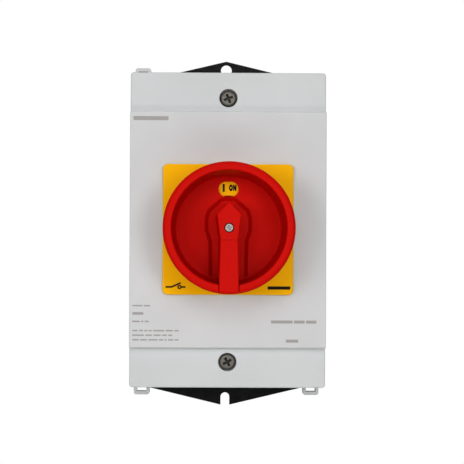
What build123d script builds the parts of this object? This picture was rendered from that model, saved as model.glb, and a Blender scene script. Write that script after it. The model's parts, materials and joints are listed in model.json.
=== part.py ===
"""Enclosed rotary isolator switch with a padlockable handle, in millimetres.

Origin: centre of the mounting plate's rear face. +Z is up, +X is right as seen by the user, and
the front looks along -Y. Every depth is the distance in front of the wall, so y = -depth.
"""
from build123d import *
from math import cos, radians, sin, tan
import os

# ---- enclosure ----
body_width = 100.0
body_height = 160.6
draft = 0.55                    # each side draws in by this much away from the joint
corner_radius = 1.6
wall = 3.0
plate_thickness = 2.0
joint_depth = 58.0              # where cover and base meet
joint_gap = 0.4
strip_depth = 95.0              # front of the two screw strips
panel_depth = 102.0             # front of the raised panel
panel_height = 119.2
rear_wall_front = plate_thickness + wall

# ---- mounting plate ----
plate_half_width = 46.0
plate_shoulder_z = 85.3
plate_apex_z = 96.3
fixing_z = 91.3
fixing_hole_radius = 3.05
fixing_slot_width = 4.9

# ---- cover screws ----
cover_screw_z = 66.9
counterbore_radius = 4.7
counterbore_floor = 90.0
cover_screw_radius = 2.0
boss_radius = 6.4

# ---- front plate and handle ----
front_plate_side = 65.5
front_plate_rear = panel_depth + 0.8
front_plate_front = front_plate_rear + 2.6
hub_front = 115.1               # printed ring that shows through the handle's window
hub_inner_radius = 16.6
hub_outer_radius = 25.5
handle_radius = 31.9
handle_rear = 106.2
skirt_inner_radius = 29.6
rim_front = 146.0
rim_inner_radius = 27.8
bowl_floor_radius = 26.2
bowl_floor = 117.0
bowl_floor_rear = 115.4
moat_floor = 114.4
moat_floor_rear = 112.0
grip_front = rim_front - 0.1
grip_draft = 1.0                # degrees
grip_parting_z = -5.8           # the arrow ends and the slide begins
slide_clearance = 0.3
rail_neck_front = 116.6         # T-shaped rail that the slide runs on
rail_head_front = 118.6
padlock_hole_radius = 3.2
padlock_hole_z = -22.4
padlock_hole_depths = (123.8, 132.4, 141.0)
spigot_radius = 6.2
spigot_rear = 97.0
bush_radius = 9.0
shaft_side = 6.0

# ---- switch inside ----
rail_rear = 9.0
rail_front = 16.5
foot_front = 21.0
stage_thickness = 11.5
stage_width = 46.0
stage_height = 58.0
latch_front = 68.0
latch_height = 38.0
chamber_radius = 12.6
terminal_xs = (-14.5, 0.0, 14.5)
terminal_z = 25.0
rail_terminal_x = 34.0
stage_rears = tuple(foot_front + stage_thickness * i for i in range(3))
stack_front = foot_front + 3 * stage_thickness

os.makedirs("parts", exist_ok=True)


def at_depth(depth, x=0.0, z=0.0):
    """A plane facing the front, its own x and y along +X and +Z."""
    return Plane(origin=(x, -depth, z), x_dir=(1, 0, 0), z_dir=(0, -1, 0))


def slab(sketch, rear, front, x=0.0, z=0.0):
    """A sketch in X and Z, filled from one depth to another."""
    return extrude(at_depth(rear, x, z) * sketch, amount=front - rear, dir=(0, -1, 0))


def disc(radius, rear, front, x=0.0, z=0.0):
    return slab(Circle(radius), rear, front, x, z)


def ring(outer, inner, rear, front, x=0.0, z=0.0):
    return slab(Circle(outer) - Circle(inner), rear, front, x, z)


def block(width, height, rear, front, x=0.0, z=0.0):
    return slab(Rectangle(width, height), rear, front, x, z)


def turned(points):
    """A solid of revolution about the switch axis, from (radius, depth) points."""
    outline = Polygon(*[(r, -d) for r, d in points], align=None)
    return revolve(outline, axis=Axis.Y)


def across(radius, length, depth, z, x=0.0):
    """A cylinder along X."""
    return Plane(origin=(x, -depth, z), x_dir=(0, 1, 0), z_dir=(1, 0, 0)) * Cylinder(radius, length)


def upright(radius, low, high, x, depth):
    """A cylinder along Z."""
    middle = (low + high) / 2
    return Pos(x, -depth, middle) * Cylinder(radius, high - low)


def drafted(inset, rear, rear_shrink, front, front_shrink):
    """The enclosure's outline, inset by a wall and drawn in a little at each end."""
    def outline(shrink):
        away = 2 * (inset + shrink)
        radius = max(corner_radius - inset / 2, 0.6)
        return RectangleRounded(body_width - away, body_height - away, radius)
    return loft([at_depth(rear) * outline(rear_shrink), at_depth(front) * outline(front_shrink)])


def cross_recess(span, blade, mouth, floor, x=0.0, z=0.0, turn=0.0):
    """The cross-shaped driver recess of a screw head, from its mouth down to its floor."""
    cross = Rectangle(span, blade) + Rectangle(blade, span)
    return extrude(at_depth(mouth, x, z) * Rot(0, 0, turn) * cross, amount=floor - mouth, taper=6)


def square_hole(rear, front):
    """The hole that any part driven by the square spindle or shaft has."""
    return block(shaft_side + 0.1, shaft_side + 0.1, rear, front)


def save(shape, name):
    export_step(shape, f"parts/{name}.step")


# ---------------------------------------------------------------- plate and base

def make_mounting_plate():
    side, shoulder, apex = plate_half_width, plate_shoulder_z, plate_apex_z
    outline = Polygon(
        (-side, -shoulder), (0, -apex), (side, -shoulder),
        (side, shoulder), (0, apex), (-side, shoulder), align=None)
    plate = slab(outline, 0, plate_thickness)
    plate -= disc(fixing_hole_radius, -1, plate_thickness + 1, z=fixing_z)
    plate -= disc(fixing_slot_width / 2, -1, plate_thickness + 1, z=-fixing_z)
    plate -= block(fixing_slot_width, 20, -1, plate_thickness + 1, z=-fixing_z - 10)
    for x, z in base_corners():
        plate -= turned_at([(0, -0.01), (3.8, -0.01), (1.95, 1.9), (1.95, 3), (0, 3)], x, z)
    return plate


def turned_at(points, x, z):
    return Pos(x, 0, z) * turned(points)


def base_corners():
    return [(sx * 36.0, sz * 60.0) for sx in (-1, 1) for sz in (-1, 1)]


def make_plate_screws():
    """Countersunk screws from behind, flush with the plate, into the base's corner bosses."""
    screws = []
    for x, z in base_corners():
        screw = turned_at([(0, 0.05), (3.65, 0.05), (1.8, 1.9), (1.8, 9.5), (0, 9.5)], x, z)
        screws.append(screw - cross_recess(3.6, 0.8, 0, 1.3, x, z, turn=20))
    return Compound(screws)


def side_loop(x, side):
    """A small moulded eyelet on the base's top or bottom wall."""
    reach, low = 86.2, 78.0
    middle = side * (low + reach) / 2
    loop = slab(RectangleRounded(8.3, reach - low, 1.4), 50.0, 56.5, x, middle)
    window_middle = side * (reach - 1.8 - 3)
    return loop - block(5.0, 6.0, 49, 57.5, x, window_middle)


def make_enclosure_base():
    front = joint_depth - joint_gap
    rear_draft = 2 * draft
    base = drafted(0, plate_thickness, rear_draft, front, 0)
    for x, side in ((-44.6, 1), (-44.6, -1), (44.6, -1)):
        base += side_loop(x, side)
    base -= drafted(wall, rear_wall_front, rear_draft, front + 1, 0)
    for side in (-1, 1):
        base += disc(boss_radius, rear_wall_front - 0.5, front, z=side * cover_screw_z)
        base += block(5, 8, rear_wall_front - 0.5, front, z=side * (body_height / 2 - 5.5))
        base -= disc(cover_screw_radius + 0.05, 28, front + 1, z=side * cover_screw_z)
        for x in (-24.0, 24.0):
            base -= knockout_groove(x, side)
    for x, z in base_corners():
        base += disc(4.6, rear_wall_front - 0.5, 11.0, x, z)
        base -= disc(1.85, plate_thickness - 1, 10.0, x, z)
    for x in rail_screw_xs():
        base += disc(5.0, rear_wall_front - 0.5, rail_rear, x)
        base -= disc(1.85, 3.4, rail_rear + 1, x)
    base -= gasket_ring(1.7, front - 1.2, front + 1)
    return base


def knockout_groove(x, side):
    """The thin ring that lets a cable entry be knocked out of the top or bottom wall."""
    outer = body_height / 2
    annulus = Circle(12.7) - Circle(11.9)
    plane = Plane(origin=(x, -30, side * (outer + 1)), x_dir=(1, 0, 0), z_dir=(0, 0, -side))
    return extrude(plane * annulus, amount=1 + 2 * draft + 1.5)


def gasket_ring(width, rear, front):
    """A rectangular ring that follows the middle of the wall."""
    outer = RectangleRounded(body_width - wall + width, body_height - wall + width, 1.5)
    inner = RectangleRounded(body_width - wall - width, body_height - wall - width, 0.8)
    return slab(outer - inner, rear, front)


def make_cover_gasket():
    return gasket_ring(1.5, joint_depth - joint_gap - 1.15, joint_depth - 0.02)


# ---------------------------------------------------------------- cover

def make_cover():
    cover = cover_body() - cover_hollow()
    inner_face = panel_depth - wall
    for side in (-1, 1):
        z = side * cover_screw_z
        cover += disc(boss_radius, joint_depth, strip_depth - wall + 0.5, z=z)
        cover -= disc(counterbore_radius, counterbore_floor, strip_depth + 1, z=z)
        cover -= disc(cover_screw_radius + 0.4, joint_depth - 1, strip_depth, z=z)
        cover += retention_rib(side)
    cover -= disc(bush_radius + 0.1, inner_face - 1, panel_depth + 1)
    for x, z in plate_screw_places():
        cover -= disc(3.6, inner_face - 1, panel_depth + 1, x, z)
    return cover


def cover_body():
    """The low body with the two screw strips, and the raised panel that crosses it."""
    strip_draft = draft * (strip_depth - joint_depth) / (panel_depth - joint_depth)
    low = drafted(0, joint_depth, 0, strip_depth, strip_draft)
    low = fillet(low.edges().group_by(Axis.Y)[0], 0.7)
    panel = drafted(0, joint_depth, 0, panel_depth, draft)
    panel &= block(body_width + 4, panel_height, joint_depth - 1, panel_depth + 1)
    panel = fillet(panel.edges().group_by(Axis.Y)[0].filter_by(Axis.X), 1.0)
    panel = fillet(panel.edges().group_by(Axis.Y)[0].filter_by(Axis.Z), 0.5)
    return low + panel


def cover_hollow():
    hollow = drafted(wall, joint_depth - 1, 0, panel_depth - wall, draft)
    reach = (body_height - panel_height) / 2 + 4
    for side in (-1, 1):
        hollow -= block(body_width, reach, strip_depth - wall, panel_depth,
                        z=side * (panel_height / 2 - wall + reach / 2))
    return hollow


def retention_rib(side):
    """The little rib in the counterbore, on its outer side, that keeps the screw captive."""
    rib = Polygon((-0.9, side * 0.7), (0.9, side * 0.7), (0, side * 0.1), align=None)
    rib_z = side * (cover_screw_z + counterbore_radius - 0.3)
    return slab(rib, counterbore_floor, strip_depth - 0.4, z=rib_z)


def make_cover_screws():
    screws = []
    head_rear = counterbore_floor + 0.6
    head_front = head_rear + 2.6
    for side, turn in ((1, 22), (-1, 28)):
        z = side * cover_screw_z
        head = disc(4.2, head_rear, head_front, z=z)
        head = fillet(head.edges().group_by(Axis.Y)[0], 1.3)
        screw = head + disc(cover_screw_radius, 32, head_rear, z=z)
        screws.append(screw - cross_recess(4.8, 1.3, head_front, head_rear + 0.3, 0, z, turn))
    return Compound(screws)


def make_cover_screw_washers():
    """Sealing washers under the cover screws' heads."""
    return Compound([ring(3.95, cover_screw_radius + 0.1, counterbore_floor, counterbore_floor + 0.6,
                          z=side * cover_screw_z) for side in (-1, 1)])


# ---------------------------------------------------------------- front plate and bush

def plate_screw_places():
    return [(sx * 25.0, sz * 25.0) for sx in (-1, 1) for sz in (-1, 1)]


def make_front_plate():
    outline = RectangleRounded(front_plate_side, front_plate_side, 2.5)
    plate = slab(outline, front_plate_rear, front_plate_front)
    plate = fillet(plate.edges().group_by(Axis.Y)[0], 0.7)
    plate += printed_ring()
    for x, z in plate_screw_places():
        plate += disc(3.3, panel_depth - wall + 0.6, front_plate_rear, x, z)
        plate -= disc(1.5, panel_depth - wall, front_plate_front - 0.8, x, z)
    return plate - disc(spigot_radius + 0.3, front_plate_rear - 1, front_plate_front + 1)


def printed_ring():
    """Raised arc behind the handle's window: it carries the two position marks."""
    arc = ring(hub_outer_radius, hub_inner_radius, front_plate_front - 0.5, hub_front)
    sector = [(0, 0)] + [(60 * cos(radians(a)), 60 * sin(radians(a))) for a in range(44, 227, 26)]
    return arc & slab(Polygon(*sector, align=None), front_plate_rear, hub_front + 1)


def make_front_plate_gasket():
    gasket = slab(RectangleRounded(61, 61, 2), panel_depth, front_plate_rear) - disc(10, 100, 104)
    for x, z in plate_screw_places():
        gasket -= disc(3.7, 100, 104, x, z)
    return gasket


def make_front_plate_screws():
    screws = []
    inner = panel_depth - wall
    for x, z in plate_screw_places():
        head = disc(4.4, inner - 2.0, inner, x, z)
        head = fillet(head.edges().group_by(Axis.Y)[-1], 0.7)
        screw = head + disc(1.45, inner, front_plate_front - 1.4, x, z)
        screws.append(screw - cross_recess(3.0, 0.8, inner - 2.0, inner - 1.0, x, z, 15))
    return Compound(screws)


def make_shaft_bush():
    """Bearing for the handle's spigot: a tube through the cover with a flange behind it."""
    inner = panel_depth - wall
    bush = disc(bush_radius, inner - 2.4, front_plate_rear - 0.1)
    bush += disc(14.0, inner - 2.4, inner - 0.02)
    bush -= disc(spigot_radius + 0.06, inner - 4, front_plate_rear + 1)
    return bush - ring(8.1, spigot_radius, 100.0, 101.8)


def make_shaft_seal():
    seal = Rot(90, 0, 0) * Torus(7.15, 0.82)
    return Pos(0, -100.9, 0) * seal


# ---------------------------------------------------------------- handle

def handle_envelope():
    """The plain outer form of the handle, rounded at the rim."""
    envelope = turned([(0, handle_rear), (handle_radius + 0.3, handle_rear),
                       (handle_radius, rim_front), (0, rim_front)])
    return fillet(envelope.edges().group_by(Axis.Y)[0], 2.2)


def bowl():
    depth_past = rim_front + 6
    lean = (rim_inner_radius - bowl_floor_radius) / (rim_front - bowl_floor)
    hollow = turned([(0, bowl_floor), (bowl_floor_radius, bowl_floor),
                     (rim_inner_radius + 6 * lean, depth_past), (0, depth_past)])
    return fillet(hollow.edges().group_by(Axis.Y)[-1], 1.1)


def moat():
    """The shallow channel around the arrow and down both sides of the slide, with sloping sides."""
    right = [(7.5, -40), (8.1, -6), (9.9, -0.5), (9.9, 5.0), (8.9, 8.4), (3.6, 13.2), (2.4, 13.8)]
    outline = Polygon(*right, *[(-x, z) for x, z in reversed(right)], align=None)
    channel = extrude(at_depth(moat_floor) * outline, amount=bowl_floor - moat_floor + 0.6, taper=-35)
    return channel & disc(bowl_floor_radius - 1.2, moat_floor - 1, bowl_floor + 2)


def grip_bar():
    """The whole arrow-shaped grip, from its point to past the rim, drafted towards the front."""
    right = [(4.9, -36), (4.7, -24.5), (4.25, grip_parting_z), (5.9, 6.4)]
    outline = Polygon(*right, (0, 12.7), *[(-x, z) for x, z in reversed(right)], align=None)
    height = grip_front - moat_floor
    spread = height * tan(radians(grip_draft))
    foot = offset(outline, amount=spread, kind=Kind.INTERSECTION)
    bar = extrude(at_depth(moat_floor) * foot, amount=height, taper=grip_draft)
    return chamfer(bar.edges().group_by(Axis.Y)[0], 0.45)


def beyond(z, side):
    """Everything above or below a height, to cut the grip in two."""
    return block(80, 80, 90, 160, z=z + side * 40)


def grip_head():
    """The fixed arrow, rooted in the floor."""
    return grip_bar() & beyond(grip_parting_z, 1)


def slide_rail():
    """T-shaped rail on the moat floor that holds the slide."""
    neck = block(3.0, 19.0, moat_floor - 0.5, rail_neck_front, z=-16.5)
    return neck + block(6.0, 19.0, rail_neck_front, rail_head_front, z=-16.5)


def window():
    return slab(RectangleRounded(9.9, 7.4, 3.6), bowl_floor_rear - 2, bowl_floor + 2, z=19.7)


def make_handle():
    handle = handle_envelope() - bowl()
    inner_lip = handle.edges().filter_by(GeomType.CIRCLE).group_by(Axis.Y)[0]
    handle = fillet(inner_lip, 0.7) - moat()
    handle -= disc(skirt_inner_radius, handle_rear - 1, moat_floor_rear)
    mark_sweep = ring(skirt_inner_radius, hub_inner_radius - 0.6, moat_floor_rear - 1, bowl_floor_rear)
    handle -= mark_sweep & upper_sector()
    handle -= ring(skirt_inner_radius - 0.2, 28.4, moat_floor_rear - 1, rim_front - 10) & rim_coring()
    handle += grip_head() + slide_rail()
    handle += disc(spigot_radius, spigot_rear, moat_floor_rear + 0.5)
    handle -= slide_gate() + window()
    socket_front = rim_front - 16.4
    handle -= square_hole(spigot_rear - 1, socket_front)
    handle -= disc(1.9, socket_front - 1, rim_front)
    return handle - disc(2.35, rim_front - 3.2, rim_front + 1)


def upper_sector():
    """Everywhere the printed ring can stand while the handle turns a quarter."""
    sector = [(0, 0)] + [(60 * cos(radians(a)), 60 * sin(radians(a))) for a in range(-48, 229, 23)]
    return slab(Polygon(*sector, align=None), 100, 140)


def rim_coring():
    """Leaves solid ribs beside the slide's gate."""
    return block(80, 80, 100, 140) - block(18, 40, 100, 140, z=-20)


def slide_gate():
    """The slot in the rim that the slide comes out through."""
    gate = at_depth(moat_floor, 0, -32) * Rectangle(11.2, 16)
    return extrude(gate, amount=rim_front + 1 - moat_floor, taper=grip_draft)


def make_lock_slide():
    """The pull-out bar below the arrow, with three holes for padlock shackles."""
    slide = grip_bar() & beyond(grip_parting_z - 0.12, -1) & handle_envelope()
    slide -= block(40, 40, moat_floor - 1, moat_floor + slide_clearance, z=-20)
    neck_slot = block(3.0 + 2 * slide_clearance, 24, moat_floor, rail_neck_front, z=-14.4)
    head_slot = block(6.0 + 2 * slide_clearance, 24, rail_neck_front - slide_clearance,
                      rail_head_front + slide_clearance, z=-14.4)
    slide -= neck_slot + head_slot
    for depth in padlock_hole_depths:
        slide -= across(padlock_hole_radius, 20, depth, padlock_hole_z)
    return slide


def make_handle_screw():
    head_front = rim_front - 0.7
    head_rear = rim_front - 3.1
    head = disc(2.15, head_rear, head_front)
    head = fillet(head.edges().group_by(Axis.Y)[0], 0.5)
    screw = head + disc(1.55, 122.0, head_rear)
    return screw - cross_recess(2.4, 0.6, head_front, head_front - 1.2, turn=10)


def make_handle_shaft():
    """Square bar from the coupling up into the handle."""
    shaft = block(shaft_side, shaft_side, 76.0, rim_front - 16.8)
    return shaft - disc(1.6, 120.5, rim_front)


# ---------------------------------------------------------------- rail and switch

def rail_screw_xs():
    return (-31.0, 31.0)


def make_mounting_rail():
    """Top-hat rail, 35 mm wide and 7.5 mm deep, along X."""
    length = 78.0
    rail = block(length, 27, rail_rear, rail_front) - block(length + 2, 25, rail_rear + 1, rail_front + 1)
    for side in (-1, 1):
        rail += block(length, 5, rail_front - 1, rail_front, z=side * 15.0)
    for x in rail_screw_xs():
        rail -= disc(2.2, rail_rear - 1, rail_rear + 3, x)
    return rail


def make_rail_screws():
    screws = []
    seat = rail_rear + 1.0
    for x in rail_screw_xs():
        head = fillet(disc(3.6, seat, seat + 2.2, x).edges().group_by(Axis.Y)[0], 0.8)
        screw = head + disc(1.8, 4.0, seat, x)
        screws.append(screw - cross_recess(3.4, 0.9, seat + 2.2, seat + 0.9, x))
    return Compound(screws)


def make_switch_foot():
    """Clips the switch onto the rail: a plate with a hook behind each lip."""
    foot = block(stage_width, 44, rail_front + 0.1, foot_front)
    for side in (-1, 1):
        foot += block(30, 2.2, rail_front - 2.6, rail_front + 1, z=side * 18.9)
        foot += block(30, 3.6, rail_front - 2.6, rail_front - 1.3, z=side * 18.2)
    foot -= disc(5.0, rail_front - 1, foot_front + 1)
    return foot - stack_bolt_holes()


def stack_bolt_places():
    return (-19.0, 19.0)


def stack_bolt_holes():
    return Compound([disc(1.75, 10, latch_front + 4, x) for x in stack_bolt_places()])


def make_contact_stage(index):
    """One pole's moulding: a round chamber, two contact channels and two terminal pockets."""
    rear = stage_rears[index]
    front = rear + stage_thickness
    stage = slab(RectangleRounded(stage_width, stage_height, 1.5), rear, front)
    stage -= disc(chamber_radius, rear + 1.0, front + 1)
    stage -= disc(5.2, rear - 1, rear + 2)
    x = terminal_xs[index]
    for side in (-1, 1):
        stage -= block(7, 9, rear + 3.0, front + 1, z=side * 15.5)
        stage -= block(abs(x) + 7, 3.6, rear + 3.0, front + 1, x / 2, side * 18.0)
        stage -= block(10.4, 13, rear + 1.6, front + 1, x, side * (terminal_z + 1))
        for behind in terminal_xs[:index]:
            stage -= block(10.4, 13, rear - 1, front + 1, behind, side * (terminal_z + 1))
    return stage - stack_bolt_holes()


def make_fixed_contacts():
    """Copper strips from each rotor chamber to its terminal, two to a pole."""
    strips = []
    for rear, x in zip(stage_rears, terminal_xs):
        for side in (-1, 1):
            low = rear + 5.0
            strip = block(5, 6.6, low, low + 1.2, z=side * 15.3)
            strip += block(abs(x) + 5, 2.6, low, low + 1.2, x / 2, side * 17.9)
            strip += block(5, 10.5, low, low + 1.2, x, side * 22.5)
            strips.append(strip)
    return Compound(strips)


def make_terminal_clamps():
    """Box clamps: the wire goes in along Z, beside the contact strip."""
    clamps = []
    for rear, x in zip(stage_rears, terminal_xs):
        for side in (-1, 1):
            z = side * terminal_z
            clamp = block(8.8, 8, rear + 2.2, rear + 10.2, x, z)
            clamp -= block(6.2, 9, rear + 4.0, rear + 8.6, x, z)
            clamps.append(clamp - disc(2.1, rear + 8, rear + 11, x, z))
    return Compound(clamps)


def make_terminal_screws():
    screws = []
    for rear, x in zip(stage_rears, terminal_xs):
        for side in (-1, 1):
            z = side * terminal_z
            screw = disc(2.05, rear + 7.0, rear + 10.2, x, z) + disc(3.0, rear + 10.2, rear + 11.2, x, z)
            screws.append(screw - block(8, 0.8, rear + 10.6, rear + 12, x, z))
    return Compound(screws)


def make_contact_rotor(index):
    """Plastic disc on the spindle, slotted for its moving contact."""
    rear = stage_rears[index] + 1.3
    rotor = disc(12.0, rear, rear + 9.6) - block(15.0, 26, rear + 3.2, rear + 6.4)
    rotor += disc(5.6, rear + 3.0, rear + 6.6)
    return rotor - square_hole(rear - 1, rear + 12)


def make_moving_contacts():
    """A double-break bridge in each rotor, open in the middle for the spindle."""
    bridges = []
    for stage_rear in stage_rears:
        rear = stage_rear + 4.9
        bridge = block(14.2, 23.0, rear, rear + 1.2) & disc(11.5, rear - 1, rear + 3)
        bridges.append(bridge - disc(5.9, rear - 1, rear + 3))
    return Compound(bridges)


def make_contact_springs():
    """Wave washers that press each bridge forward in its slot."""
    springs = []
    for stage_rear in stage_rears:
        rear = stage_rear + 6.2
        springs.append(ring(6.9, 5.9, rear, rear + 1.4))
    return Compound(springs)


def make_latch_housing():
    """Front of the switch: the quarter-turn detent works in here."""
    housing = slab(RectangleRounded(stage_width, latch_height, 1.5), stack_front, latch_front - 1.5)
    housing -= disc(12.2, stack_front + 2, latch_front)
    housing -= disc(5.2, stack_front - 1, stack_front + 3)
    for side in (-1, 1):
        housing -= upright(2.3, min(side * 10, side * 18), max(side * 10, side * 18), 0, stack_front + 6)
    return housing - stack_bolt_holes()


def make_latch_cover():
    lid = slab(RectangleRounded(stage_width, latch_height, 1.5), latch_front - 1.5, latch_front)
    return lid - disc(5.2, latch_front - 2, latch_front + 1) - stack_bolt_holes()


def make_detent_cam():
    cam = disc(11.0, stack_front + 2.4, latch_front - 2.1)
    for x, z in ((12, 0), (0, 12), (-12, 0), (0, -12)):
        cam -= disc(1.9, stack_front, latch_front, x, z)
    return cam - square_hole(stack_front, latch_front)


def make_detent_plungers():
    plungers = []
    for side in (-1, 1):
        low, high = sorted((side * 11.4, side * 14.2))
        plunger = upright(2.2, low, high, 0, stack_front + 6)
        tip = plunger.edges().group_by(Axis.Z)[0 if side > 0 else -1]
        plungers.append(fillet(tip, 1.4))
    return Compound(plungers)


def make_detent_springs():
    """Coil springs behind the plungers."""
    path = Helix(pitch=1.0, height=2.8, radius=1.55)
    coil = sweep(Plane(origin=path @ 0, z_dir=path % 0) * Circle(0.22), path=path)
    return Compound([Pos(0, -(stack_front + 6), low) * coil for low in (14.65, -17.45)])


def make_switch_spindle():
    return block(shaft_side, shaft_side, foot_front - 2.5, 75.5)


def make_shaft_coupling():
    """Sleeve that joins the switch's spindle to the handle's shaft."""
    sleeve = disc(6.4, 69.0, 84.0) - square_hole(68, 85)
    return sleeve - across(1.3, 6, 80.0, 0, x=5.5)


def make_coupling_screw():
    return across(1.25, 2.9, 80.0, 0, x=4.6) - across(0.6, 1, 80.0, 0, x=6.0)


def make_stack_bolts():
    bolts = []
    for x in stack_bolt_places():
        bolt = disc(1.7, rail_front + 0.6, latch_front, x) + disc(2.9, latch_front, latch_front + 2.0, x)
        bolts.append(bolt - cross_recess(3.0, 0.8, latch_front + 2.0, latch_front + 0.9, x))
    return Compound(bolts)


# ---------------------------------------------------------------- earth and neutral terminals

def make_rail_terminal(x):
    """A feed-through terminal block clipped on the rail beside the switch."""
    body = block(9.0, 46, rail_front + 0.1, 44, x)
    for side in (-1, 1):
        body -= block(10, 12, 36, 45, x, side * 20)
        body += block(9.0, 2.2, rail_front - 2.6, rail_front + 1, x, side * 18.9)
        body += block(9.0, 3.6, rail_front - 2.6, rail_front - 1.3, x, side * 18.2)
        body -= upright(2.6, min(side * 9, side * 24), max(side * 9, side * 24), x, 28)
        body -= disc(2.4, 27, 37, x, side * 17)
    return body


def make_rail_terminal_screws(x):
    screws = []
    for side in (-1, 1):
        screw = disc(2.3, 29, 35.4, x, side * 17)
        screws.append(screw - block(6, 0.8, 34.4, 36, x, side * 17))
    return Compound(screws)


def main():
    save(make_mounting_plate(), "mounting_plate")
    save(make_plate_screws(), "plate_screws")
    save(make_enclosure_base(), "enclosure_base")
    save(make_cover_gasket(), "cover_gasket")
    save(make_cover(), "cover")
    save(make_cover_screws(), "cover_screws")
    save(make_cover_screw_washers(), "cover_screw_washers")
    save(make_front_plate(), "front_plate")
    save(make_front_plate_gasket(), "front_plate_gasket")
    save(make_front_plate_screws(), "front_plate_screws")
    save(make_shaft_bush(), "shaft_bush")
    save(make_shaft_seal(), "shaft_seal")
    save(make_handle(), "handle")
    save(make_lock_slide(), "lock_slide")
    save(make_handle_screw(), "handle_screw")
    save(make_handle_shaft(), "handle_shaft")
    save(make_mounting_rail(), "mounting_rail")
    save(make_rail_screws(), "rail_screws")
    save(make_switch_foot(), "switch_foot")
    for index in range(3):
        save(make_contact_stage(index), f"contact_stage_{index + 1}")
        save(make_contact_rotor(index), f"contact_rotor_{index + 1}")
    save(make_fixed_contacts(), "fixed_contacts")
    save(make_terminal_clamps(), "terminal_clamps")
    save(make_terminal_screws(), "terminal_screws")
    save(make_moving_contacts(), "moving_contacts")
    save(make_contact_springs(), "contact_springs")
    save(make_latch_housing(), "latch_housing")
    save(make_latch_cover(), "latch_cover")
    save(make_detent_cam(), "detent_cam")
    save(make_detent_plungers(), "detent_plungers")
    save(make_detent_springs(), "detent_springs")
    save(make_switch_spindle(), "switch_spindle")
    save(make_shaft_coupling(), "shaft_coupling")
    save(make_coupling_screw(), "coupling_screw")
    save(make_stack_bolts(), "stack_bolts")
    for name, x in (("neutral_terminal", -rail_terminal_x), ("earth_terminal", rail_terminal_x)):
        save(make_rail_terminal(x), name)
        save(make_rail_terminal_screws(x), f"{name}_screws")


main()
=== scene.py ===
import json
import math

import bmesh
import bpy
from mathutils import Matrix, Vector


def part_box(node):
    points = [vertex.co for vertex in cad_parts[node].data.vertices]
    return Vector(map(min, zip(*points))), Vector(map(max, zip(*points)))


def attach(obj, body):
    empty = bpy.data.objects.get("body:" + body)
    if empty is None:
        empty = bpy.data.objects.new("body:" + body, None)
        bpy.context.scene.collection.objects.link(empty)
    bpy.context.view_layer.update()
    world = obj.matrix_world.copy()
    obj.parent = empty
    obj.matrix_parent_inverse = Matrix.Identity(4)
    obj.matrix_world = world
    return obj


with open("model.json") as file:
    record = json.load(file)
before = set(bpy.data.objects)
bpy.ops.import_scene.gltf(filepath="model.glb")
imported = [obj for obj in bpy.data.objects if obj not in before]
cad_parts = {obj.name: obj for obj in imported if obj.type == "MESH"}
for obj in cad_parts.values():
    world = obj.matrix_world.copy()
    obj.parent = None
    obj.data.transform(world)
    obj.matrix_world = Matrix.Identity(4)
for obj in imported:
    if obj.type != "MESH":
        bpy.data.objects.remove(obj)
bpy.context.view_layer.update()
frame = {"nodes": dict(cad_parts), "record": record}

MM = 0.001

PANEL_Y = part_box("cover")[0].y                  # front of the raised panel
HUB_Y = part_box("front_plate")[0].y              # printed ring behind the handle's window
SCREW_FACE_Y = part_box("cover_screws")[0].y      # front of the cover screws' heads
YELLOW_STANDOFF = 3.4 * MM                      # the yellow plate, in front of the panel
YELLOW_Y = PANEL_Y - YELLOW_STANDOFF
PRINT_DEPTH = 0.05 * MM                         # how far print stands off its surface

LETTER_SIZE = 3.5 * MM
LETTER_SPACING = 1.35
LETTER_WIDTH = 0.56                             # letters are condensed to this share of their width
MARK_Z = 20.2 * MM                              # middle of the handle's window, from its axis
FIGURE_X = -2.4 * MM
RING_STEPS = 32

CAMERA_DISTANCE = 0.88                          # from the raised panel
FLOOR_RADIUS = 0.6
FLOOR_PLACE = (0, -0.07, -0.3)

NOISE_LOW, NOISE_HIGH = 0.3, 0.7                # most of a noise texture's values lie between these
SLOT_OF = {part["node"]: part["material_slot"] for part in frame["record"]["subparts"]}
# the cover screws' finish carries painted shade, nearly black, in their recesses
OWN_FINISH = {"handle_screw": "bright_zinc", "cover_screws": "shaded_recess_steel"}


# ---------------------------------------------------------------- materials

def add(tree, kind, **values):
    """A node, with its sockets and properties set by name."""
    node = tree.nodes.new(kind)
    for key, value in values.items():
        if hasattr(node, key):
            setattr(node, key, value)
        else:
            node.inputs[key.replace("_", " ")].default_value = value
    return node


def start_material(name, **sockets):
    """A new material with one Principled shader: the material, its tree, the shader, object coordinates."""
    material = bpy.data.materials.new(name)
    material.use_nodes = True
    tree = material.node_tree
    tree.nodes.clear()
    shader = add(tree, "ShaderNodeBsdfPrincipled", **sockets)
    out = add(tree, "ShaderNodeOutputMaterial")
    tree.links.new(shader.outputs["BSDF"], out.inputs["Surface"])
    return material, tree, shader, add(tree, "ShaderNodeTexCoord").outputs["Object"]


def drive(tree, shader, **outputs):
    """Links outputs of other nodes to the shader's sockets, by the sockets' names."""
    for key, output in outputs.items():
        tree.links.new(output, shader.inputs[key.replace("_", " ")])


def noise(tree, where, scale, detail, roughness=0.5):
    texture = add(tree, "ShaderNodeTexNoise", Scale=scale, Detail=detail, Roughness=roughness)
    tree.links.new(where, texture.inputs["Vector"])
    return texture.outputs["Fac"]


def spread(tree, value, low, high):
    """A noise spread over a range."""
    mapped = add(tree, "ShaderNodeMapRange", From_Min=NOISE_LOW, From_Max=NOISE_HIGH, To_Min=low, To_Max=high)
    tree.links.new(value, mapped.inputs["Value"])
    return mapped.outputs["Result"]


def shades(tree, value, colour, low, high):
    """A colour that a noise moves between a low and a high share of its brightness."""
    ramp = add(tree, "ShaderNodeValToRGB")
    ends = zip(ramp.color_ramp.elements, (NOISE_LOW, NOISE_HIGH), (low, high))
    for end, position, share in ends:
        end.position = position
        end.color = (*(min(1.0, c * share) for c in colour), 1)
    tree.links.new(value, ramp.inputs["Fac"])
    return ramp.outputs["Color"]


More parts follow.
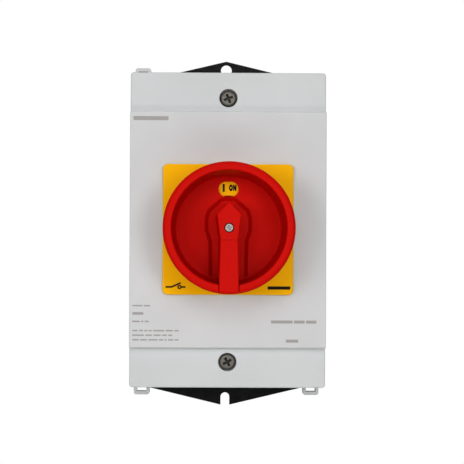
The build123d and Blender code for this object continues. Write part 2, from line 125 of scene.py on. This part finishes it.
def bump(tree, height, distance):
    node = add(tree, "ShaderNodeBump", Strength=1.0, Distance=distance)
    tree.links.new(height, node.inputs["Height"])
    return node.outputs["Normal"]


def painted_recess_shade(tree, where, lit_colour, face_y):
    """The given colour, which fades into painted shade, nearly black, in the recesses behind a face."""
    axes = add(tree, "ShaderNodeSeparateXYZ")
    tree.links.new(where, axes.inputs["Vector"])
    depth = add(tree, "ShaderNodeMapRange", From_Min=face_y + 0.5 * MM, From_Max=face_y + 1.5 * MM)
    tree.links.new(axes.outputs["Y"], depth.inputs["Value"])
    mixed = add(tree, "ShaderNodeMix", data_type="RGBA")
    factor, lit_side, shade_side = (mixed.inputs[i] for i in (0, 6, 7))
    # painted shade: the near-black colour put into the recesses behind the face
    shade_side.default_value = (0.004, 0.003, 0.002, 1)
    tree.links.new(depth.outputs["Result"], factor)
    tree.links.new(lit_colour, lit_side)
    return mixed.outputs[2]


def moulded(name, colour, roughness, grain=2600, depth=0.006, variation=0.03, **sockets):
    """Injection-moulded plastic: spark-eroded grain, slow colour drift, slightly uneven gloss."""
    material, tree, shader, where = start_material(name, **sockets)
    drive(tree, shader,
          Base_Color=shades(tree, noise(tree, where, 28, 3), colour, 1 - variation, 1 + variation),
          Roughness=spread(tree, noise(tree, where, 160, 4), roughness - 0.04, roughness + 0.05),
          Normal=bump(tree, noise(tree, where, grain, 2, 0.6), depth * MM))
    return material


def powder_coat(name, colour):
    """Powder coat: a fine orange-peel skin over steel."""
    material, tree, shader, where = start_material(name, Specular_IOR_Level=0.1)
    drive(tree, shader,
          Base_Color=shades(tree, noise(tree, where, 60, 4), colour, 0.8, 1.3),
          Roughness=spread(tree, noise(tree, where, 300, 3), 0.42, 0.6),
          Normal=bump(tree, noise(tree, where, 900, 3), 0.02 * MM))
    return material


def turned_metal(name, colour, roughness, metallic=1.0, shade_behind=None):
    """Plated steel with fine turning marks and a little tarnish, and painted shade in the recesses behind a
    face if one is given.
    """
    material, tree, shader, where = start_material(name, Metallic=metallic)
    colours = shades(tree, noise(tree, where, 900, 5, 0.6), colour, 0.72, 1.1)
    if shade_behind is not None:
        colours = painted_recess_shade(tree, where, colours, shade_behind)
    drive(tree, shader,
          Base_Color=colours,
          Roughness=spread(tree, noise(tree, where, 1500, 4), roughness - 0.08, roughness + 0.1),
          Normal=bump(tree, noise(tree, where, 5200, 3), 0.008 * MM))
    return material


def rubber(name, colour):
    """Dull rubber with a blotchy, matt skin."""
    material, tree, shader, where = start_material(name)
    drive(tree, shader,
          Base_Color=shades(tree, noise(tree, where, 200, 4), colour, 0.7, 1.4),
          Roughness=spread(tree, noise(tree, where, 500, 3), 0.65, 0.85),
          Normal=bump(tree, noise(tree, where, 1800, 3), 0.01 * MM))
    return material


def make_materials():
    screw_grey = (0.105, 0.095, 0.08)
    return {
        "housing_grey": moulded("housing_grey", (0.588, 0.60, 0.604), 0.5, Specular_IOR_Level=0.12),
        "plate_black": powder_coat("plate_black", (0.0008, 0.0008, 0.0012)),
        "handle_red": moulded("handle_red", (0.535, 0.003, 0.001), 0.5, grain=1700, depth=0.05,
                              Specular_IOR_Level=0.03),
        "escutcheon_yellow": moulded("escutcheon_yellow", (0.93, 0.47, 0.0), 0.45, variation=0.02,
                                     Specular_IOR_Level=0.03),
        "screw_steel": turned_metal("screw_steel", screw_grey, 0.45, metallic=0.5),
        # the cover screws: painted shade, nearly black, from 0.5 mm behind the fronts of their heads
        "shaded_recess_steel": turned_metal("shaded_recess_steel", screw_grey, 0.45, metallic=0.5,
                                     shade_behind=SCREW_FACE_Y),
        "zinc_steel": turned_metal("zinc_steel", (0.62, 0.62, 0.60), 0.3),
        "bright_zinc": turned_metal("bright_zinc", (0.235, 0.22, 0.212), 0.36),
        "seal_rubber": rubber("seal_rubber", (0.02, 0.02, 0.02)),
        "inner_black": moulded("inner_black", (0.02, 0.02, 0.022), 0.5, variation=0.1),
        "inner_grey": moulded("inner_grey", (0.12, 0.125, 0.13), 0.5, variation=0.05),
        "rotor_white": moulded("rotor_white", (0.7, 0.68, 0.62), 0.45),
        "copper": turned_metal("copper", (0.72, 0.38, 0.2), 0.28),
        "neutral_blue": moulded("neutral_blue", (0.03, 0.09, 0.4), 0.45),
        "earth_green": moulded("earth_green", (0.05, 0.25, 0.03), 0.45),
        "print_black": moulded("print_black", (0.010, 0.008, 0.007), 0.5, variation=0.1,
                               Specular_IOR_Level=0.03),
        "print_grey": moulded("print_grey", (0.33, 0.32, 0.31), 0.5, variation=0.05,
                              Specular_IOR_Level=0.2),
    }


MATERIALS = make_materials()


def dress_cad_nodes():
    for name, node in frame["nodes"].items():
        finish = OWN_FINISH.get(name, SLOT_OF[name])
        node.data.materials.clear()
        node.data.materials.append(MATERIALS[finish])


# ---------------------------------------------------------------- print and relief

def place_piece(name, mesh, slot):
    """A piece of one mesh that stays with the box."""
    piece = bpy.data.objects.new(name, mesh)
    bpy.context.scene.collection.objects.link(piece)
    mesh.materials.append(MATERIALS[slot])
    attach(piece, "root")


def facing_front(x, y, z):
    """Turns a flat drawing in X and Y to face the front, at a place."""
    return Matrix.Translation((x, y, z)) @ Matrix.Rotation(math.radians(90), 4, "X")


def lettering(name, words, x, z, turn, bold):
    """Bold condensed letters on the printed ring, upright to the handle when it stands at that turn."""
    curve = bpy.data.curves.new(name, "FONT")
    curve.body = words
    curve.align_x = "CENTER"
    curve.align_y = "CENTER"
    curve.size = LETTER_SIZE
    curve.offset = bold * MM
    curve.space_character = LETTER_SPACING
    curve.extrude = PRINT_DEPTH / 2
    text = bpy.data.objects.new(name, curve)
    bpy.context.scene.collection.objects.link(text)
    depsgraph = bpy.context.evaluated_depsgraph_get()
    mesh = bpy.data.meshes.new_from_object(text.evaluated_get(depsgraph))
    bpy.data.objects.remove(text)
    mesh.transform(Matrix.Diagonal((LETTER_WIDTH, 1, 1, 1)))
    mesh.transform(facing_front(x, HUB_Y - PRINT_DEPTH / 2, z))
    mesh.transform(Matrix.Rotation(math.radians(turn), 4, (0, -1, 0)))
    mesh.materials.clear()
    place_piece(name, mesh, "print_black")


def position_mark(name, figure, word, turn, figure_bold, word_bold, word_x):
    """A position's figure and word, where the handle's window shows them."""
    lettering(f"{name}_figure", figure, FIGURE_X, MARK_Z, turn, figure_bold)
    lettering(f"{name}_word", word, word_x * MM, MARK_Z + 0.1 * MM, turn, word_bold)


def printed_strip(bm, start, end, width):
    """One stroke of a printed symbol, in X and Y."""
    along = (end - start).normalized()
    aside = Vector((-along.y, along.x)) * width / 2
    corners = (start + aside, start - aside, end - aside, end + aside)
    front = [bm.verts.new((c.x, c.y, PRINT_DEPTH)) for c in corners]
    back = [bm.verts.new((c.x, c.y, 0)) for c in corners]
    bm.faces.new(front)
    bm.faces.new(back[::-1])
    for i in range(4):
        j = (i + 1) % 4
        bm.faces.new((front[j], front[i], back[i], back[j]))


def printed_ring(bm, centre, radius, width):
    """A printed circle, in X and Y."""
    angles = [2 * math.pi * i / RING_STEPS for i in range(RING_STEPS)]
    inner_top, inner_low, outer_top, outer_low = (
        [bm.verts.new((centre.x + r * math.cos(a), centre.y + r * math.sin(a), height)) for a in angles]
        for r in (radius - width / 2, radius + width / 2)
        for height in (PRINT_DEPTH, 0))
    for i in range(RING_STEPS):
        j = (i + 1) % RING_STEPS
        bm.faces.new((inner_top[i], outer_top[i], outer_top[j], inner_top[j]))
        bm.faces.new((inner_low[j], outer_low[j], outer_low[i], inner_low[i]))
        bm.faces.new((outer_top[i], outer_low[i], outer_low[j], outer_top[j]))
        bm.faces.new((inner_top[j], inner_low[j], inner_low[i], inner_top[i]))


def strokes(name, slot, y, lines, rings=()):
    """Print on a flat front, in mm: lines are (start, end, width), rings (centre, radius, width)."""
    bm = bmesh.new()
    for start, end, width in lines:
        printed_strip(bm, Vector(start) * MM, Vector(end) * MM, width * MM)
    for centre, radius, width in rings:
        printed_ring(bm, Vector(centre) * MM, radius * MM, width * MM)
    mesh = bpy.data.meshes.new(name)
    bm.to_mesh(mesh)
    bm.free()
    mesh.transform(facing_front(0, y, 0))
    place_piece(name, mesh, slot)


def isolator_symbol():
    """The general graphic symbol of a switch-disconnector: line, open contact, small circle, line."""
    base = -28.9
    stroke = 0.85
    strokes("isolator_symbol", "print_black", YELLOW_Y,
            [((-31.2, base), (-28.1, base), stroke),
             ((-28.4, base - 0.1), (-23.6, -26.8), stroke),
             ((-23.6, base), (-21.2, base), stroke)],
            [((-24.2, base), 0.75, 0.7)])


def dashes(left, z, lengths, width):
    """A row of short strokes, spaced like words, starting at the left."""
    gap = 0.7
    row = []
    for length in lengths:
        row.append(((left, z), (left + length, z), width))
        left += length + gap
    return row


def rating_rules():
    """Plain printed dashes on the panel and the yellow plate, where a maker's print would stand."""
    margin = -47.8
    fine = 0.75
    rows = dashes(margin, 55.9, (17.6,), 2.0)
    rows += dashes(margin, -38.4, (5.0, 3.1), 0.7)
    rows += dashes(margin, -42.3, (5.5,), 1.3)
    rows += dashes(margin, -46.3, (3.6, 1.2, 2.0), 0.8)
    rows += dashes(margin, -50.9, (2.6, 2.0, 1.4, 1.6, 5.6, 3.6, 2.2), fine)
    rows += dashes(margin, -53.2, (5.8, 3.4, 3.6, 2.4, 2.0), fine)
    rows += dashes(margin, -55.5, (3.2, 3.4, 4.6, 2.2, 1.0, 2.6, 2.0), fine)
    rows += dashes(21.8, -46.3, (10.8, 5.4, 5.2), 1.5)
    rows += dashes(29.3, -55.9, (6.2,), 1.5)
    strokes("panel_rules", "print_grey", PANEL_Y, rows)
    strokes("plate_rule", "print_black", YELLOW_Y, dashes(19.9, -29.2, (11.4,), 1.6))


def double_square():
    """The double square of double-insulated equipment, in low relief on the panel."""
    centre_x, centre_z = 41.0, -54.9
    line = 0.22
    lines = []
    for side in (7.0, 3.6):
        left, right = centre_x - side / 2, centre_x + side / 2
        low, high = centre_z - side / 2, centre_z + side / 2
        lines += [((left, low), (right, low), line), ((left, high), (right, high), line),
                  ((left, low), (left, high), line), ((right, low), (right, high), line)]
    strokes("double_square", "housing_grey", PANEL_Y - PRINT_DEPTH, lines)


# ---------------------------------------------------------------- camera, stage, light

def look_at(thing, place, target, roll=0.0):
    """Puts a camera or a light at a place and points it at a target, rolled by some degrees."""
    thing.location = place
    turn = (Vector(target) - Vector(place)).to_track_quat("-Z", "Y")
    thing.rotation_euler = (turn.to_matrix() @ Matrix.Rotation(math.radians(roll), 3, "Z")).to_euler()


def make_camera():
    """A long lens a little below and to the left of the panel's middle."""
    data = bpy.data.cameras.new("camera")
    data.sensor_width = 36.0
    data.lens = 135.85
    data.clip_end = 20.0
    camera = bpy.data.objects.new("camera", data)
    bpy.context.scene.collection.objects.link(camera)
    look_at(camera, (-0.0118, PANEL_Y - CAMERA_DISTANCE, -0.0186), (0.0020, PANEL_Y, -0.0012), roll=0.26)
    bpy.context.scene.camera = camera


def area_light(name, place, size, watts, target=(0, 0, 0)):
    """A rectangular soft light, pointed at the object unless told otherwise."""
    data = bpy.data.lights.new(name, "AREA")
    data.shape = "RECTANGLE"
    data.size, data.size_y = size
    data.energy = watts
    light = bpy.data.objects.new(name, data)
    bpy.context.scene.collection.objects.link(light)
    look_at(light, place, target)


def make_world():
    """A white studio surround: bright to look at, gentler as a light."""
    world = bpy.data.worlds.new("studio")
    bpy.context.scene.world = world
    world.use_nodes = True
    tree = world.node_tree
    tree.nodes.clear()
    seen = add(tree, "ShaderNodeBackground", Color=(1, 1, 1, 1), Strength=1.0)
    cast = add(tree, "ShaderNodeBackground", Color=(1, 1, 1, 1), Strength=0.17)
    path = add(tree, "ShaderNodeLightPath")
    mix = add(tree, "ShaderNodeMixShader")
    out = add(tree, "ShaderNodeOutputWorld")
    tree.links.new(path.outputs["Is Camera Ray"], mix.inputs[0])
    tree.links.new(cast.outputs[0], mix.inputs[1])
    tree.links.new(seen.outputs[0], mix.inputs[2])
    tree.links.new(mix.outputs[0], out.inputs["Surface"])


def make_floor():
    """A round pale floor below the object."""
    bm = bmesh.new()
    bmesh.ops.create_circle(bm, cap_ends=True, segments=96, radius=FLOOR_RADIUS)
    mesh = bpy.data.meshes.new("floor")
    bm.to_mesh(mesh)
    bm.free()
    floor = bpy.data.objects.new("floor", mesh)
    floor.location = FLOOR_PLACE
    bpy.context.scene.collection.objects.link(floor)
    mesh.materials.append(moulded("floor_white", (0.85, 0.85, 0.84), 0.6, variation=0.01))


def make_studio():
    make_world()
    make_floor()
    area_light("left", (-0.56, -1.35, 0.07), (0.45, 0.3), 5.4)
    area_light("right", (0.38, -1.40, 0.07), (0.32, 0.3), 4.3)
    area_light("front", (0.0, -1.34, 0.34), (0.6, 0.36), 3.3)
    area_light("top", (0.0, -0.22, 1.1), (0.8, 0.2), 3.2)
    area_light("low", (0.0, -0.8, -0.36), (0.8, 0.2), 1.4, (0, -0.1, -0.05))
    bpy.context.scene.view_settings.view_transform = "Standard"


make_camera()
make_studio()
dress_cad_nodes()
position_mark("mark_on", "I", "ON", turn=0, figure_bold=0.75, word_bold=0.4, word_x=2.1)
position_mark("mark_off", "0", "OFF", turn=90, figure_bold=0.2, word_bold=0.22, word_x=1.8)
isolator_symbol()
rating_rules()
double_square()
